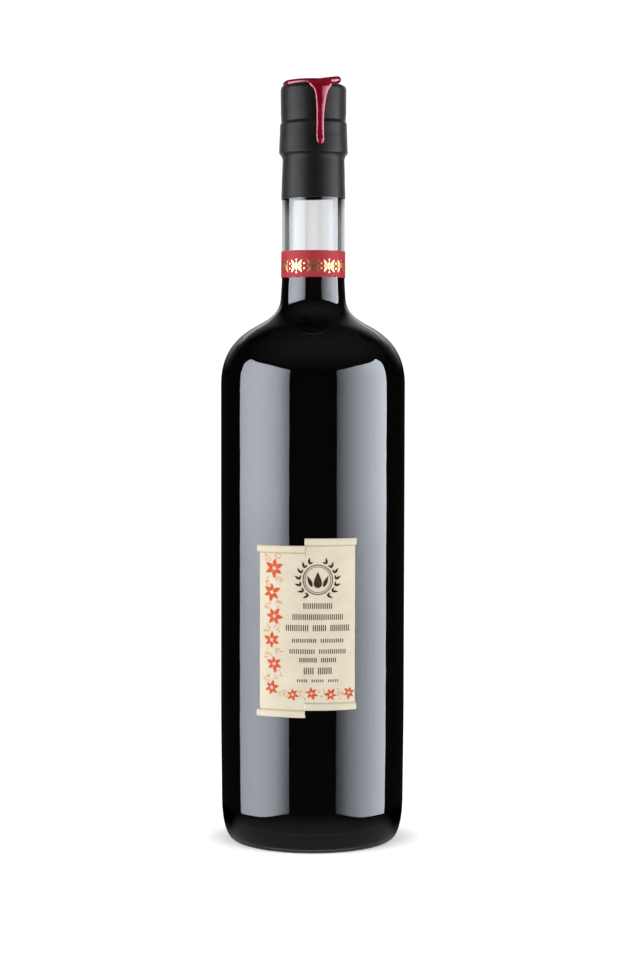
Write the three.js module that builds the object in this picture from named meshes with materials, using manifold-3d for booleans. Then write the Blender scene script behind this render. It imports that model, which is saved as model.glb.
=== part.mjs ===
// A one-litre vinegar bottle: clear glass filled with dark vinegar, a stopper under a shrunk
// black capsule, a wax seal that has run down the capsule, a paper band round the neck and a
// label cut like an open scroll. Millimetres, +Z up. The origin is the centre of the foot, and
// the label faces -Y. Angles are in degrees, measured to the right of the front.

import {
  BufferGeometry,
  CubicBezierCurve,
  Float32BufferAttribute,
  Group,
  LatheGeometry,
  LineCurve,
  Mesh,
  MeshStandardMaterial,
  SphereGeometry,
  Vector2,
} from 'three';
import { mergeVertices } from 'three/addons/utils/BufferGeometryUtils.js';
import Module from 'manifold-3d';

// Glass, outside
const BODY_RADIUS = 41.3;
const BODY_FULL_AT = 63;
const FOOT_RADIUS = 35.7;
const HEEL_RADIUS = 40.95;
const HEEL_TOP = 19.6;
const SHOULDER_START = 204.7;
const INFLECTION_RADIUS = 25.8;
const INFLECTION_HEIGHT = 230.6;
const INFLECTION_SLOPE = 28.7;
const NECK_RADIUS = 14.02;
const NECK_START = 248.4;
const PUNT_RADIUS = 31;
const PUNT_HEIGHT = 3.5;

// Glass, inside
const WALL = 3.1;
const BASE_THICKNESS = 5;
const FLOOR_RADIUS = 25;
const FLOOR_EDGE_HEIGHT = 7;
const NECK_BORE_RADIUS = 10.5;
const NECK_BORE_START = 246;
const NECK_BORE_TOP = 284;
const BORE_RADIUS = 9.3;
const BORE_FOOT = 300;

// Mouth of the glass, with the ring round it as it shows through the capsule
const MOUTH_HEIGHT = 321.6;
const MOUTH_CHAMFER = 0.9;
const RIM_RADIUS = 13.2;
const RIM_ROUNDING = 1.7;
const SKIRT_RADIUS = 13.86;
const SKIRT_TOP = 305.2;
const RING_BRINK_RADIUS = 15.38;
const RING_BRINK_HEIGHT = 309.1;
const RING_MIDDLE_RADIUS = 15.04;
const RING_MIDDLE_HEIGHT = 317;
const RING_TOP_RADIUS = 15;

// Capsule and stopper
const CAPSULE_EDGE = 287.5;
const CAPSULE_EDGE_RADIUS = 14.34;
const CAPSULE_WAIST_RADIUS = 14.14;
const CAPSULE_WAIST_HEIGHT = 296;
const CAPSULE_TOP = 338;
const CAPSULE_RADIUS = 14.7;
const CAPSULE_CORNER = 2.2;
const CAPSULE_WALL = 0.25;
const GROOVE_HEIGHT = 321.8;
const GROOVE_DEPTH = 0.5;
const HEAD_FOOT_RADIUS = 14.6;
const HEAD_FOOT_HEIGHT = 325.4;
const SHANK_END = 302;
const SHANK_CHAMFER = 1;

// Contents and paper
const VINEGAR_LEVEL = 257;
const PAPER = 0.25;
const BAND_BOTTOM = 252.3;
const BAND_HEIGHT = 11.8;
const LABEL_LEFT = -35.4;
const LABEL_STEP = -4.6;
const LABEL_STEP_WIDTH = 0.6;
const LABEL_RIGHT = 27.5;
const LABEL_BOTTOM = 60.5;
const LABEL_HEIGHT = 74.7;
const LABEL_RISE = 3.2;
const ROLL_HEIGHT = 2.8;
const ROLL_RELIEF = 0.35;
const ROLL_OVERHANG_LEFT = 1.6;
const ROLL_OVERHANG_RIGHT = 0.8;
const NOTCH = 0.3;

// Wax
const PUDDLE_RADIUS = 12.3;
const PUDDLE_THICKNESS = 1.7;
const PUDDLE_GAP = 0.15;
const DRIP_ANGLE = 11.6;
const DRIP_END = 310.6;
const DRIP_START_RADIUS = 8;
const DRIP_HALF_WIDTH = 1.8;
const DRIP_THICKNESS = 1.3;
const DRIP_EDGE = 0.08;
const FUNNEL_HALF_WIDTH = 6.2;
const LOBE_SIZE = [3.2, 2.6, 1.5];
const LOBE_TILT = 17;
const LOBE_PLACE = [9, -2, CAPSULE_TOP + 2];

// Free space left between pieces that touch
const SKIN_GAP = 0.1;
const SHANK_GAP = 0.2;
const SEAT_GAP = 0.3;

const SIDES = 48;
const RADIANS = Math.PI / 180;

const at = (radius, height) => new Vector2(radius, height);

const line = (from, to) => [new LineCurve(from, to), 1];

const bend = (steps, ...points) => [new CubicBezierCurve(...points), steps];

// Joins curves into one row of profile points, each curve cut into its own number of steps.
function trace(...pieces) {
  const points = [pieces[0][0].getPoint(0)];
  for (const [curve, steps] of pieces) {
    points.push(...curve.getPoints(steps).slice(1));
  }
  return points;
}

// Turns a profile that runs up the outside into a solid of revolution about +Z.
function turned(points, sides = SIDES) {
  return new LatheGeometry(points, sides).rotateX(Math.PI / 2);
}

// Where the shoulder turns from bulging to hollow, with its slope as a unit step inwards and up.
const inflection = at(INFLECTION_RADIUS, INFLECTION_HEIGHT);
const rise = at(-Math.cos(INFLECTION_SLOPE * RADIANS), Math.sin(INFLECTION_SLOPE * RADIANS));

// The point a given distance along the slope from a point on it.
const along = (point, distance) => point.clone().addScaledVector(rise, distance);

// The ring round the mouth, drawn in by an inset: the step out from the neck, then the slightly
// tapered band up to the rounding of the mouth.
function ring(inset) {
  const bottom = at(SKIRT_RADIUS - inset, SKIRT_TOP);
  const brink = at(RING_BRINK_RADIUS - inset, RING_BRINK_HEIGHT);
  const middle = at(RING_MIDDLE_RADIUS - inset, RING_MIDDLE_HEIGHT);
  const top = at(RING_TOP_RADIUS - inset, MOUTH_HEIGHT - RIM_ROUNDING);
  return [
    bend(3, bottom, bottom.clone().add(at(0.14, 1.8)), brink.clone().sub(at(0.08, 1.7)), brink),
    line(brink, middle),
    line(middle, top),
  ];
}

// Outer surface of the glass, from under the middle of the base to the rim of the mouth.
function glassOutside() {
  const punt = at(0, PUNT_HEIGHT);
  const puntEdge = at(PUNT_RADIUS, 0);
  const foot = at(FOOT_RADIUS, 0);
  const heel = at(HEEL_RADIUS, HEEL_TOP);
  const full = at(BODY_RADIUS, BODY_FULL_AT);
  const shoulder = at(BODY_RADIUS, SHOULDER_START);
  const neck = at(NECK_RADIUS, NECK_START);
  const underEdge = at(NECK_RADIUS, CAPSULE_EDGE - 2);
  const film = CAPSULE_WALL + SKIN_GAP;
  const ringTop = at(RING_TOP_RADIUS - film, MOUTH_HEIGHT - RIM_ROUNDING);
  const rim = at(RIM_RADIUS, MOUTH_HEIGHT);
  return trace(
    bend(4, punt, at(12, PUNT_HEIGHT), at(26, 2.4), puntEdge),
    line(puntEdge, foot),
    bend(6, foot, at(FOOT_RADIUS + 0.6, 0), at(HEEL_RADIUS, 1.7), heel),
    bend(2, heel, at(HEEL_RADIUS + 0.12, 34), at(BODY_RADIUS, 49), full),
    line(full, shoulder),
    bend(8, shoulder, at(BODY_RADIUS, SHOULDER_START + 12.3), along(inflection, -11.7), inflection),
    bend(6, inflection, along(inflection, 6.6), at(NECK_RADIUS, NECK_START - 13), neck),
    line(neck, underEdge),
    line(underEdge, at(SKIRT_RADIUS - film, SKIRT_TOP)),
    ...ring(film),
    bend(3, ringTop, ringTop.clone().add(at(-0.05, 1.1)), rim.clone().add(at(1, 0)), rim),
  );
}

// Wall of the space inside the glass, from the middle of the floor up to a height in the neck,
// drawn in from the glass by a gap.
function cavity(gap, top) {
  const radius = BODY_RADIUS - WALL - gap;
  const bore = NECK_BORE_RADIUS - gap;
  const floor = at(0, PUNT_HEIGHT + BASE_THICKNESS + gap);
  const edge = at(FLOOR_RADIUS, FLOOR_EDGE_HEIGHT + gap);
  const heel = at(radius, HEEL_TOP);
  const shoulder = at(radius, SHOULDER_START);
  const turn = inflection.clone().addScaledVector(at(-rise.y, rise.x), WALL + gap);
  const neck = at(bore, NECK_BORE_START);
  return trace(
    bend(2, floor, at(10, floor.y), at(20, edge.y), edge),
    bend(4, edge, at(FLOOR_RADIUS + 7, edge.y), at(radius, edge.y + 2), heel),
    line(heel, shoulder),
    bend(6, shoulder, at(radius, SHOULDER_START + 11), along(turn, -10.6), turn),
    bend(5, turn, along(turn, 7), at(bore, NECK_BORE_START - 12), neck),
    line(neck, at(bore, top)),
  );
}

// The bore is narrowest at the mouth, where it grips the stopper, and opens out below.
function glassBottle() {
  const bore = [
    at(BORE_RADIUS + MOUTH_CHAMFER, MOUTH_HEIGHT),
    at(BORE_RADIUS, MOUTH_HEIGHT - MOUTH_CHAMFER),
    at(BORE_RADIUS, BORE_FOOT),
  ];
  return turned([...glassOutside(), ...bore, ...cavity(0, NECK_BORE_TOP).reverse()]);
}

function vinegar() {
  return turned([...cavity(SKIN_GAP, VINEGAR_LEVEL), at(0, VINEGAR_LEVEL)]);
}

// Outer surface of the capsule from its lower edge to the middle of its top, drawn in by an
// inset. It has shrunk on to the neck, the ring of the mouth and the head of the stopper.
function capsuleProfile(inset) {
  const edge = at(CAPSULE_EDGE_RADIUS - inset, CAPSULE_EDGE);
  const waist = at(CAPSULE_WAIST_RADIUS - inset, CAPSULE_WAIST_HEIGHT);
  const skirt = at(SKIRT_RADIUS - inset, SKIRT_TOP);
  const ringTop = at(RING_TOP_RADIUS - inset, MOUTH_HEIGHT - RIM_ROUNDING);
  const headFoot = at(HEAD_FOOT_RADIUS - inset, HEAD_FOOT_HEIGHT);
  const grooveBelow = at(ringTop.x - 0.1, GROOVE_HEIGHT);
  const grooveAbove = at(headFoot.x - GROOVE_DEPTH, GROOVE_HEIGHT);
  const top = CAPSULE_TOP - inset;
  const radius = CAPSULE_RADIUS - inset;
  const corner = at(radius, top - CAPSULE_CORNER);
  const brow = at(radius - CAPSULE_CORNER, top);
  const slack = CAPSULE_CORNER * 0.4;
  return trace(
    line(edge, waist),
    line(waist, skirt),
    ...ring(inset),
    bend(3, ringTop, grooveBelow, grooveAbove, headFoot),
    line(headFoot, corner),
    bend(3, corner, at(radius, top - slack), at(radius - slack, top), brow),
    line(brow, at(0, top)),
  );
}

function capsule() {
  const inside = capsuleProfile(CAPSULE_WALL).reverse();
  return turned([...capsuleProfile(0), ...inside, at(CAPSULE_EDGE_RADIUS, CAPSULE_EDGE)]);
}

// The stopper: a short shank in the bore and a round head that fills the top of the capsule.
function stopper() {
  const film = CAPSULE_WALL + SKIN_GAP;
  const shank = BORE_RADIUS - SHANK_GAP;
  const seat = MOUTH_HEIGHT + SEAT_GAP;
  const head = CAPSULE_RADIUS - film;
  const top = CAPSULE_TOP - film;
  const brow = CAPSULE_CORNER * 0.3;
  return turned([
    at(0, SHANK_END),
    at(shank - SHANK_CHAMFER, SHANK_END),
    at(shank, SHANK_END + SHANK_CHAMFER),
    at(shank, seat),
    at(RIM_RADIUS + 0.1, seat),
    at(HEAD_FOOT_RADIUS - film - 0.1, HEAD_FOOT_HEIGHT + 0.5),
    at(head, top - CAPSULE_CORNER),
    at(head - brow, top - brow),
    at(head - CAPSULE_CORNER, top),
    at(0, top),
  ]);
}

function neckBand() {
  const inner = NECK_RADIUS + SKIN_GAP;
  const outer = inner + PAPER;
  const top = BAND_BOTTOM + BAND_HEIGHT;
  return turned([
    at(inner, BAND_BOTTOM),
    at(outer, BAND_BOTTOM),
    at(outer, top),
    at(inner, top),
    at(inner, BAND_BOTTOM),
  ]);
}

// A closed sheet between two skins of the same grid. place(column, row, skin) gives a vertex as
// [x, y, z], with skin 0 behind and skin 1 in front, columns left to right and rows upwards.
function closedSheet(columns, rows, place) {
  const vertices = [];
  const faces = [];
  const lastColumn = columns - 1;
  const lastRow = rows - 1;
  const index = (column, row, skin) => (column * rows + row) * 2 + skin;
  const quad = (a, b, c, d) => faces.push(a, b, c, a, c, d);
  const edge = (column, row, nextColumn, nextRow) => {
    const next = index(nextColumn, nextRow, 0);
    quad(index(column, row, 0), next, next + 1, index(column, row, 1));
  };
  for (let column = 0; column < columns; column++) {
    for (let row = 0; row < rows; row++) {
      vertices.push(...place(column, row, 0), ...place(column, row, 1));
    }
  }
  for (let column = 0; column < lastColumn; column++) {
    for (let row = 0; row < lastRow; row++) {
      const corners = [[0, 0], [1, 0], [1, 1], [0, 1]].map(([u, v]) => [column + u, row + v]);
      quad(...corners.map(([u, v]) => index(u, v, 1)));
      quad(...corners.reverse().map(([u, v]) => index(u, v, 0)));
    }
    edge(column, 0, column + 1, 0);
    edge(column + 1, lastRow, column, lastRow);
  }
  for (let row = 0; row < lastRow; row++) {
    edge(0, row + 1, 0, row);
    edge(lastColumn, row, lastColumn, row + 1);
  }
  const geometry = new BufferGeometry();
  geometry.setAttribute('position', new Float32BufferAttribute(vertices, 3));
  geometry.setIndex(faces);
  return geometry;
}

// Point at an angle, a radius from the axis and a height.
function around(angle, radius, height) {
  return [radius * Math.sin(angle * RADIANS), -radius * Math.cos(angle * RADIANS), height];
}

// Evenly spaced values from one end to the other.
function spread(from, to, steps) {
  return Array.from({ length: steps + 1 }, (_, k) => from + ((to - from) * k) / steps);
}

// The scroll label: two halves, the right one a step higher, each with its upper and lower edge
// rolled into a low bar that reaches past the sides.
function frontLabel() {
  const inner = BODY_RADIUS + SKIN_GAP;
  const turnLeft = ROLL_OVERHANG_LEFT / inner / RADIANS;
  const turnRight = ROLL_OVERHANG_RIGHT / inner / RADIANS;
  const angles = [
    ...spread(LABEL_LEFT, LABEL_STEP - LABEL_STEP_WIDTH / 2, 8),
    ...spread(LABEL_STEP + LABEL_STEP_WIDTH / 2, LABEL_RIGHT, 8),
  ];
  const roll = [0, 0.2, 0.5, 0.8, 1];
  const levels = [
    ...roll.map((part) => part * ROLL_HEIGHT),
    ROLL_HEIGHT + NOTCH,
    LABEL_HEIGHT - ROLL_HEIGHT - NOTCH,
    ...roll.map((part) => LABEL_HEIGHT - ROLL_HEIGHT + part * ROLL_HEIGHT),
  ];
  return closedSheet(angles.length, levels.length, (column, row, skin) => {
    const angle = angles[column];
    const share = (angle - LABEL_LEFT) / (LABEL_RIGHT - LABEL_LEFT);
    const part = roll[Math.min(row, levels.length - 1 - row)];
    const onRoll = part !== undefined;
    const tuck = onRoll ? 0 : turnLeft * (1 - share) - turnRight * share;
    const relief = onRoll ? ROLL_RELIEF * Math.sin(part * Math.PI) : 0;
    const lift = angle > LABEL_STEP ? LABEL_RISE : 0;
    const radius = skin ? inner + PAPER + relief : inner;
    return around(angle + tuck, radius, LABEL_BOTTOM + levels[row] + lift);
  });
}

// The puddle on the capsule: a flat drop with a rounded, wavy rim.
function puddle() {
  const outline = [at(0, 0), at(0.9, 0), at(0.97, 0.2), at(1, 0.5), at(0.97, 0.8), at(0.88, 1), at(0, 0.92)];
  const rim = (turn) => PUDDLE_RADIUS + 0.7 * Math.cos(2 * turn) + 0.5 * Math.sin(3 * turn + 0.7);
  const geometry = turned(outline, 36);
  const position = geometry.attributes.position;
  for (let k = 0; k < position.count; k++) {
    const x = position.getX(k);
    const y = position.getY(k);
    const radius = rim(Math.atan2(y, x));
    const height = CAPSULE_TOP + PUDDLE_GAP + position.getZ(k) * PUDDLE_THICKNESS;
    position.setXYZ(k, x * radius, y * radius, height);
  }
  return geometry;
}

// Places along the run of wax: how far from the axis and how high its back lies, how far it has
// turned from level to upright, and half its width.
function dripStations() {
  const middle = at(CAPSULE_RADIUS - CAPSULE_CORNER, CAPSULE_TOP - CAPSULE_CORNER);
  const reach = CAPSULE_CORNER + SEAT_GAP;
  const side = CAPSULE_RADIUS + SEAT_GAP;
  const station = (radius, height, turn, half) => ({ radius, height, turn, half });
  const onCorner = (turn, half) => {
    const out = reach * Math.sin(turn * RADIANS);
    const up = reach * Math.cos(turn * RADIANS);
    return station(middle.x + out, middle.y + up, turn, half);
  };
  const upright = (bulge, height, half) => station(side + bulge, height, 90, half);
  return [
    station(DRIP_START_RADIUS, CAPSULE_TOP + SEAT_GAP, 0, FUNNEL_HALF_WIDTH),
    onCorner(0, FUNNEL_HALF_WIDTH - 0.2),
    onCorner(30, FUNNEL_HALF_WIDTH - 0.7),
    onCorner(60, FUNNEL_HALF_WIDTH - 1.6),
    onCorner(90, FUNNEL_HALF_WIDTH - 2.8),
    upright(0, CAPSULE_TOP - 5, DRIP_HALF_WIDTH + 0.3),
    upright(0, CAPSULE_TOP - 9, DRIP_HALF_WIDTH - 0.2),
    upright(0.15, GROOVE_HEIGHT + 0.8, DRIP_HALF_WIDTH),
    upright(0.4, GROOVE_HEIGHT - 3.2, DRIP_HALF_WIDTH),
    upright(0.65, DRIP_END + 2, DRIP_HALF_WIDTH + 0.1),
    upright(0.7, DRIP_END + 0.7, DRIP_HALF_WIDTH * 0.8),
    upright(0.7, DRIP_END, DRIP_HALF_WIDTH * 0.25),
  ];
}

// The run of wax from the puddle over the edge and down the capsule, half round in section. It
// starts as a wide funnel and ends in a rounded tip.
function drip() {
  const across = 8;
  const tipFlatness = 0.4;
  const stations = dripStations().reverse();
  return closedSheet(across + 1, stations.length, (column, row, skin) => {
    const { radius, height, turn, half } = stations[row];
    const side = -Math.cos((column * Math.PI) / across);
    const thickness = DRIP_THICKNESS * Math.sqrt(1 - side * side) * (row ? 1 : tipFlatness);
    const bulge = skin * (DRIP_EDGE + thickness);
    const angle = DRIP_ANGLE + (side * half) / CAPSULE_RADIUS / RADIANS;
    const out = radius + bulge * Math.sin(turn * RADIANS);
    return around(angle, out, height + bulge * Math.cos(turn * RADIANS));
  });
}

// The thick end of the puddle on the right, which stands a little off the capsule.
function lobe() {
  const geometry = new SphereGeometry(1, 12, 8).scale(...LOBE_SIZE);
  return geometry.rotateY(-LOBE_TILT * RADIANS).translate(...LOBE_PLACE);
}

const wasm = await Module();
wasm.setup();

// A closed geometry as a solid that can be joined, without the faces that have no area.
function solid(geometry) {
  const bare = geometry.clone();
  bare.deleteAttribute('normal');
  bare.deleteAttribute('uv');
  const merged = mergeVertices(bare);
  const index = merged.index.array;
  const faces = [];
  for (let k = 0; k < index.length; k += 3) {
    const [a, b, c] = index.slice(k, k + 3);
    if (a !== b && b !== c && c !== a) {
      faces.push(a, b, c);
    }
  }
  const vertProperties = new Float32Array(merged.attributes.position.array);
  const triVerts = new Uint32Array(faces);
  return new wasm.Manifold(new wasm.Mesh({ numProp: 3, vertProperties, triVerts }));
}

function waxSeal() {
  const joined = solid(puddle()).add(solid(drip())).add(solid(lobe())).getMesh();
  const geometry = new BufferGeometry();
  geometry.setAttribute('position', new Float32BufferAttribute(joined.vertProperties, 3));
  geometry.setIndex(Array.from(joined.triVerts));
  return geometry;
}

function piece(name, geometry, color, roughness) {
  const mesh = new Mesh(geometry, new MeshStandardMaterial({ color, roughness, metalness: 0 }));
  mesh.name = name;
  return mesh;
}

const bottle = new Group();
bottle.add(
  piece('glass_bottle', glassBottle(), 0xdfe6e4, 0.04),
  piece('vinegar', vinegar(), 0x0d0605, 0.1),
  piece('stopper', stopper(), 0x2a2724, 0.6),
  piece('capsule', capsule(), 0x232323, 0.42),
  piece('wax_seal', waxSeal(), 0x8a0a20, 0.22),
  piece('neck_band', neckBand(), 0xb5323f, 0.45),
  piece('front_label', frontLabel(), 0xe6dcc4, 0.65),
);

export default bottle;
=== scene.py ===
"""Looks of a one-litre vinegar bottle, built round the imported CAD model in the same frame.

Metres for Blender; the named sizes below are millimetres, as in the CAD source, and angles are
degrees to the right of the front, which faces -Y.
"""

import math
import random

import bmesh
import bpy
from mathutils import Matrix, Vector, noise


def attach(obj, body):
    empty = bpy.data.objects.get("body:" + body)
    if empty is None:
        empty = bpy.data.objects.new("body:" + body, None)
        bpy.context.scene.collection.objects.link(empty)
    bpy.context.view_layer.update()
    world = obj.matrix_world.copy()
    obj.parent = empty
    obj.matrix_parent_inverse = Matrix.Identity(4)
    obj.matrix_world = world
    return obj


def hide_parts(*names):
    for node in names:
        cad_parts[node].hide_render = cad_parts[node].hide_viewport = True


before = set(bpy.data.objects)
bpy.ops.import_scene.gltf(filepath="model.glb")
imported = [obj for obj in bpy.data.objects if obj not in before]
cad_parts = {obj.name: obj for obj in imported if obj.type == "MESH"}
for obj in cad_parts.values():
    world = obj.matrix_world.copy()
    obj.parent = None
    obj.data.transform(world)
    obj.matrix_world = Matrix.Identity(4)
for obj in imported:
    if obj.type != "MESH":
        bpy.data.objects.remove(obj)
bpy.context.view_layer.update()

MM = 0.001

# Glass, outside
BODY_RADIUS = 41.3
BODY_FULL_AT = 63
FOOT_RADIUS = 35.7
HEEL_RADIUS = 40.95
HEEL_TOP = 19.6
SHOULDER_START = 204.7
INFLECTION = (25.8, 230.6)
INFLECTION_SLOPE = math.radians(28.7)
NECK_RADIUS = 14.02
NECK_FOOT = (14.5, 243.6)
NECK_FLARE = 3
PUNT_RADIUS = 31
PUNT_HEIGHT = 3.5

# Glass, inside
WALL = 3.1
BASE_THICKNESS = 5
FLOOR_RADIUS = 25
FLOOR_EDGE_HEIGHT = 7
NECK_BORE_RADIUS = 10.5
NECK_BORE_START = 246
NECK_BORE_TOP = 288
BORE_RADIUS = 9.3
BORE_FOOT = 300

# Mouth of the glass
MOUTH_HEIGHT = 321.6
MOUTH_CHAMFER = 0.9
RIM_RADIUS = 13.2
RIM_ROUNDING = 1.7
SKIRT = (13.86, 305.2)
RING_BRINK = (15.38, 309.1)
RING_MIDDLE = (15.04, 317)
RING_TOP_RADIUS = 15

# Capsule and stopper
CAPSULE_EDGE = (14.34, 287.5)
CAPSULE_WAIST = (14.14, 296)
CAPSULE_TOP = 338
CAPSULE_RADIUS = 14.7
CAPSULE_CORNER = 2.2
CAPSULE_WALL = 0.25
STEP_UNDER = (15.0, 307.3)
RING_CORNER = (14.75, 320.9)
CREASE = (14.38, 321.9)
HEAD_FOOT = (14.6, 325.4)
SKIN_GAP = 0.1

# Contents and paper
VINEGAR_LEVEL = 257
VINEGAR_INTO_GLASS = 0.1
PAPER = 0.25
PAPER_BACK_GAP = 0.02
BAND_BOTTOM = 252.3
BAND_HEIGHT = 11.8
LABEL_LEFT = -35.4
LABEL_STEP = -4.6
LABEL_RIGHT = 27.5
LABEL_BOTTOM = 60.5
LABEL_HEIGHT = 74.7
LABEL_RISE = 3.2
ROLL_HEIGHT = 2.8
ROLL_RELIEF = 0.55
ROLL_OVERHANG_LEFT = 1.6
ROLL_OVERHANG_RIGHT = 0.8

SIDES = 256

rng = random.Random(7)


# Geometry helpers


def bend(start, pull_start, pull_end, end, steps=24):
    """Points of a cubic Bezier curve."""
    corners = (start, pull_start, pull_end, end)
    points = []
    for k in range(steps + 1):
        t = k / steps
        s = 1 - t
        weights = (s**3, 3 * s * s * t, 3 * s * t * t, t**3)
        x, y = (sum(w * c[i] for w, c in zip(weights, corners)) for i in range(2))
        points.append((x, y))
    return points


def line(start, end, steps=1):
    """Evenly spaced points on a straight line."""
    return [
        tuple(a + (b - a) * k / steps for a, b in zip(start, end)) for k in range(steps + 1)
    ]


def trace(*pieces):
    """Joins rows of points, dropping each shared point."""
    points = list(pieces[0])
    for piece in pieces[1:]:
        points += piece[1:]
    return points


def joined(parts):
    """One list of vertices and one of faces from several pairs of such lists."""
    vertices = []
    faces = []
    for part_vertices, part_faces in parts:
        faces += [tuple(i + len(vertices) for i in face) for face in part_faces]
        vertices += part_vertices
    return vertices, faces


def placed(name, mesh, material):
    """A new object in the scene that shows a mesh in a material."""
    mesh.materials.append(material)
    obj = bpy.data.objects.new(name, mesh)
    bpy.context.scene.collection.objects.link(obj)
    return obj


def mesh_object(name, vertices, faces, material, sharp_above=40):
    """A smooth-shaded object from millimetre vertices, with its normals turned outwards."""
    mesh = bpy.data.meshes.new(name)
    mesh.from_pydata([Vector(v) * MM for v in vertices], [], faces)
    work = bmesh.new()
    work.from_mesh(mesh)
    bmesh.ops.recalc_face_normals(work, faces=work.faces)
    work.to_mesh(mesh)
    work.free()
    mesh.shade_smooth()
    mesh.set_sharp_from_angle(angle=math.radians(sharp_above))
    return placed(name, mesh, material)


def around(angle, radius, height):
    """Point at an angle in degrees, a radius from the axis and a height."""
    turn = math.radians(angle)
    return (radius * math.sin(turn), -radius * math.cos(turn), height)


def lathe(name, profile, material, form=None):
    """Turns a profile of (radius, height) points round the axis.

    The profile ends on the axis, where it has radius 0, or closes on itself. form(angle, radius,
    height) may give another radius and height at each place.
    """
    vertices = []
    rings = []
    for radius, height in profile:
        if radius < 1e-6:
            rings.append([len(vertices)])
            vertices.append((0, 0, height))
            continue
        rings.append(list(range(len(vertices), len(vertices) + SIDES)))
        for k in range(SIDES):
            angle = 360 * k / SIDES
            shaped = form(angle, radius, height) if form else (radius, height)
            vertices.append(around(angle, *shaped))
    faces = []
    for low, high in zip(rings, rings[1:]):
        if len(low) == 1 and len(high) == 1:
            continue
        for k in range(SIDES):
            after = (k + 1) % SIDES
            if len(low) == 1:
                faces.append((low[0], high[after], high[k]))
            elif len(high) == 1:
                faces.append((low[k], low[after], high[0]))
            else:
                faces.append((low[k], low[after], high[after], high[k]))
    return mesh_object(name, vertices, faces, material)


def dress(piece, slot, *nodes):
    """Rides on the bottle and stands for CAD nodes if any. The slot is not used."""
    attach(piece, "root")
    if nodes:
        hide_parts(*nodes)


def smoothstep(low, high, value):
    """Runs smoothly from 0 to 1 as a value goes from low to high."""
    share = min(max((value - low) / (high - low), 0), 1)
    return share * share * (3 - 2 * share)


# Materials


def node(tree, kind, inputs=None, **settings):
    """Adds a shader node, sets its properties, and fills or links its inputs."""
    made = tree.nodes.new(kind)
    for name, value in settings.items():
        setattr(made, name, value)
    for key, value in (inputs or {}).items():
        if isinstance(value, bpy.types.NodeSocket):
            tree.links.new(value, made.inputs[key])
        else:
            made.inputs[key].default_value = value
    return made


def principled(name, inputs):
    """A new material with its Principled shader's own sockets set."""
    made = bpy.data.materials.new(name)
    made.use_nodes = True
    shader = made.node_tree.nodes["Principled BSDF"]
    for key, value in inputs.items():
        shader.inputs[key].default_value = value
    return made, made.node_tree, shader


def grain(tree, scale, detail=4, stretch=(1, 1, 1)):
    """Noise in object space with features of about 1/scale metres."""
    where = node(tree, "ShaderNodeTexCoord").outputs["Object"]
    if stretch != (1, 1, 1):
        where = node(tree, "ShaderNodeMapping", {"Vector": where, "Scale": stretch}).outputs[0]
    inputs = {"Vector": where, "Scale": scale, "Detail": detail}
    return node(tree, "ShaderNodeTexNoise", inputs).outputs["Fac"]


def paint(tree, shader, value, low, high, start=0.3, end=0.7):
    """Colours a shader from low to high as a value goes from start to end."""
    made = node(tree, "ShaderNodeValToRGB", {"Fac": value})
    made.color_ramp.elements[0].position = start
    made.color_ramp.elements[0].color = (*low, 1)
    made.color_ramp.elements[1].position = end
    made.color_ramp.elements[1].color = (*high, 1)
    tree.links.new(made.outputs["Color"], shader.inputs["Base Color"])


def spread(tree, value, low, high, start=0.3, end=0.7):
    """Maps a value from one range to another, as a plain number."""
    inputs = {
        "Value": value,
        "From Min": start,
        "From Max": end,
        "To Min": low,
        "To Max": high,
    }
    return node(tree, "ShaderNodeMapRange", inputs).outputs["Result"]


def roughen(tree, shader, value, low, high):
    """Varies a shader's roughness between two levels."""
    tree.links.new(spread(tree, value, low, high), shader.inputs["Roughness"])


def bump(tree, shader, height, distance, strength=1.0, normal=None):
    """Small relief of a height in metres."""
    inputs = {"Height": height, "Distance": distance, "Strength": strength}
    if normal:
        inputs["Normal"] = normal
    made = node(tree, "ShaderNodeBump", inputs)
    tree.links.new(made.outputs["Normal"], shader.inputs["Normal"])
    return made.outputs["Normal"]


def clear_glass():
    """Clear glass that greys through thick layers, as at the base: the grey is painted shade,
    darker than the real glass.
    """
    inputs = {
        "Base Color": (1, 1, 1, 1),
        "Roughness": 0.0,
        "IOR": 1.5,
        "Transmission Weight": 1.0,
    }
    made, tree, shader = principled("clear_glass", inputs)
    bump(tree, shader, grain(tree, 60, 2), 0.00002)
    # Painted shade: grey absorption that darkens the thick base, where the real glass is clearer
    grey = {"Color": (0.5, 0.52, 0.47, 1), "Density": 12}
    painted_shade_absorption = node(tree, "ShaderNodeVolumeAbsorption", grey)
    out = tree.nodes["Material Output"]
    tree.links.new(painted_shade_absorption.outputs[0], out.inputs["Volume"])
    return made


def dark_vinegar():
    """Almost black, with painted light: a little browner where it rises into the shoulder and the
    neck, for the light that comes through the thinner column there.
    """
    inputs = {"Roughness": 0.2, "Specular IOR Level": 0.02}
    made, tree, shader = principled("dark_vinegar", inputs)
    where = node(tree, "ShaderNodeTexCoord").outputs["Object"]
    height = node(tree, "ShaderNodeSeparateXYZ", {"Vector": where}).outputs["Z"]
    # Painted light: browner from the shoulder up, standing in for light through the thin column
    painted_light_share = spread(tree, height, 0, 1, 0.225, 0.245)
    paint(tree, shader, painted_light_share, (0.002, 0.0014, 0.0016), (0.008, 0.004, 0.003), 0, 1)
    return made


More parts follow.
